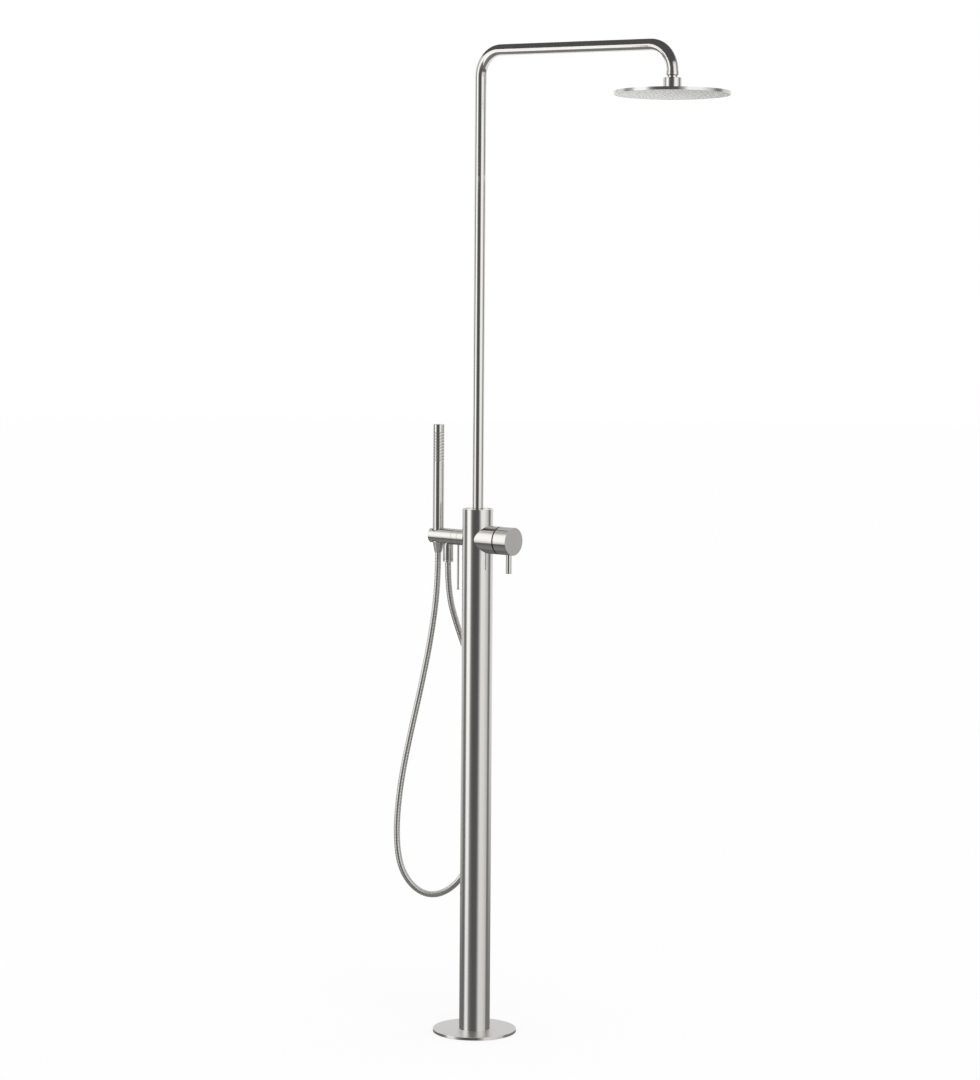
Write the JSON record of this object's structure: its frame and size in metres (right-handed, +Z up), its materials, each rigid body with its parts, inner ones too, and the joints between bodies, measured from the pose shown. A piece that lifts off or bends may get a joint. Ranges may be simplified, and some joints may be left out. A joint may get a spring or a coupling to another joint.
{
  "type": "outdoor shower post",
  "caption": "Free-standing outdoor shower post: round column on a base disc, mixer, holder bar with handset and hose, bent riser and arm with a round overhead rose.",
  "frame": {"origin": "centre of the base's underside, on the floor, in line with the column's axis", "axes": "+Z up the column; -Y to the front, the way that the arm and the mixer point; +Y to the rear, the way that the holder bar points"},
  "size_m": [0.2501, 0.8476, 2.2365],
  "materials": {
    "stainless_satin": "satin brushed stainless steel",
    "stainless_face": "fine satin stainless steel plate",
    "brass": "machined brass",
    "plastic": "moulded",
    "rubber": "moulded",
    "silicone": "moulded silicone",
    "metal_hose": "interlocked stainless steel hose"
  },
  "bodies": {
    "post": {"base_flange": "stainless_satin", "base_cover": "stainless_satin", "column_tube": "stainless_satin", "column_cap": "stainless_satin", "riser_socket": "brass", "riser_seal": "rubber", "riser_feed_pipe": "brass", "inlet_bracket": "plastic", "hot_supply_pipe": "stainless_satin", "cold_supply_pipe": "stainless_satin", "hot_inlet_nut": "brass", "cold_inlet_nut": "brass", "riser_arm_tube": "stainless_satin", "arm_ferrule": "stainless_satin", "ball_stem": "stainless_satin", "mixer_core": "brass", "mixer_sleeve": "stainless_satin", "mixer_cartridge": "plastic", "cartridge_nut": "brass", "bar_core": "brass", "bar_sleeve": "stainless_satin", "holder_bar": "stainless_satin", "holder_liner": "plastic", "outlet_spigot": "stainless_satin", "check_valve": "plastic", "outlet_nut": "stainless_satin", "outlet_washer": "rubber", "shower_hose": "metal_hose"},
    "mixer_handle": {"handle_cap": "stainless_satin", "handle_pin": "stainless_satin", "mixer_spindle": "brass"},
    "diverter": {"diverter_collar": "stainless_satin", "diverter_pin": "stainless_satin", "diverter_spool": "brass"},
    "hose_end": {"cone_nut": "stainless_satin", "cone_washer": "rubber"},
    "handset": {"handset_tube": "stainless_satin", "handset_cap": "stainless_satin", "handset_nozzles": "silicone", "handset_inlet": "brass", "handset_water_tube": "plastic"},
    "seat_ring": {"ball_seat": "plastic"},
    "seal_ring": {"ball_seal": "rubber"},
    "shower_head": {"collar_nut": "stainless_satin", "head_boss": "stainless_satin", "head_shell": "stainless_satin", "head_face": "stainless_face", "head_nozzle_mat": "silicone"}
  },
  "joints": [
    {"name": "mixer_turn", "type": "hinge", "parent": "post", "child": "mixer_handle", "pos_m": [0, -0.085, 1.132], "axis": [0, -1, 0], "range_deg": [0, 100]},
    {"name": "diverter_turn", "type": "hinge", "parent": "post", "child": "diverter", "pos_m": [0, 0.057, 1.132], "axis": [0, 1, 0], "range_deg": [0, 90]},
    {"name": "handset_lift", "type": "slide", "parent": "post", "child": "hose_end", "axis": [0, 0, 1], "range_m": [0, 0.08]},
    {"name": "handset_turn", "type": "hinge", "parent": "hose_end", "child": "handset", "pos_m": [0, 0.117, 1.13], "axis": [0, 0, 1], "continuous": true},
    {"name": "head_tilt_side", "type": "hinge", "parent": "post", "child": "seat_ring", "pos_m": [0, -0.53, 2.1415], "axis": [1, 0, 0], "range_deg": [-8, 11.6]},
    {"name": "head_tilt_front", "type": "hinge", "parent": "seat_ring", "child": "seal_ring", "pos_m": [0, -0.53, 2.1415], "axis": [0, 0.9995, -0.0311], "range_deg": [-12, 7.6]},
    {"name": "head_turn", "type": "hinge", "parent": "seal_ring", "child": "shower_head", "pos_m": [0, -0.53, 2.1415], "axis": [0.0377, 0.0311, 0.9988], "continuous": true}
  ]
}
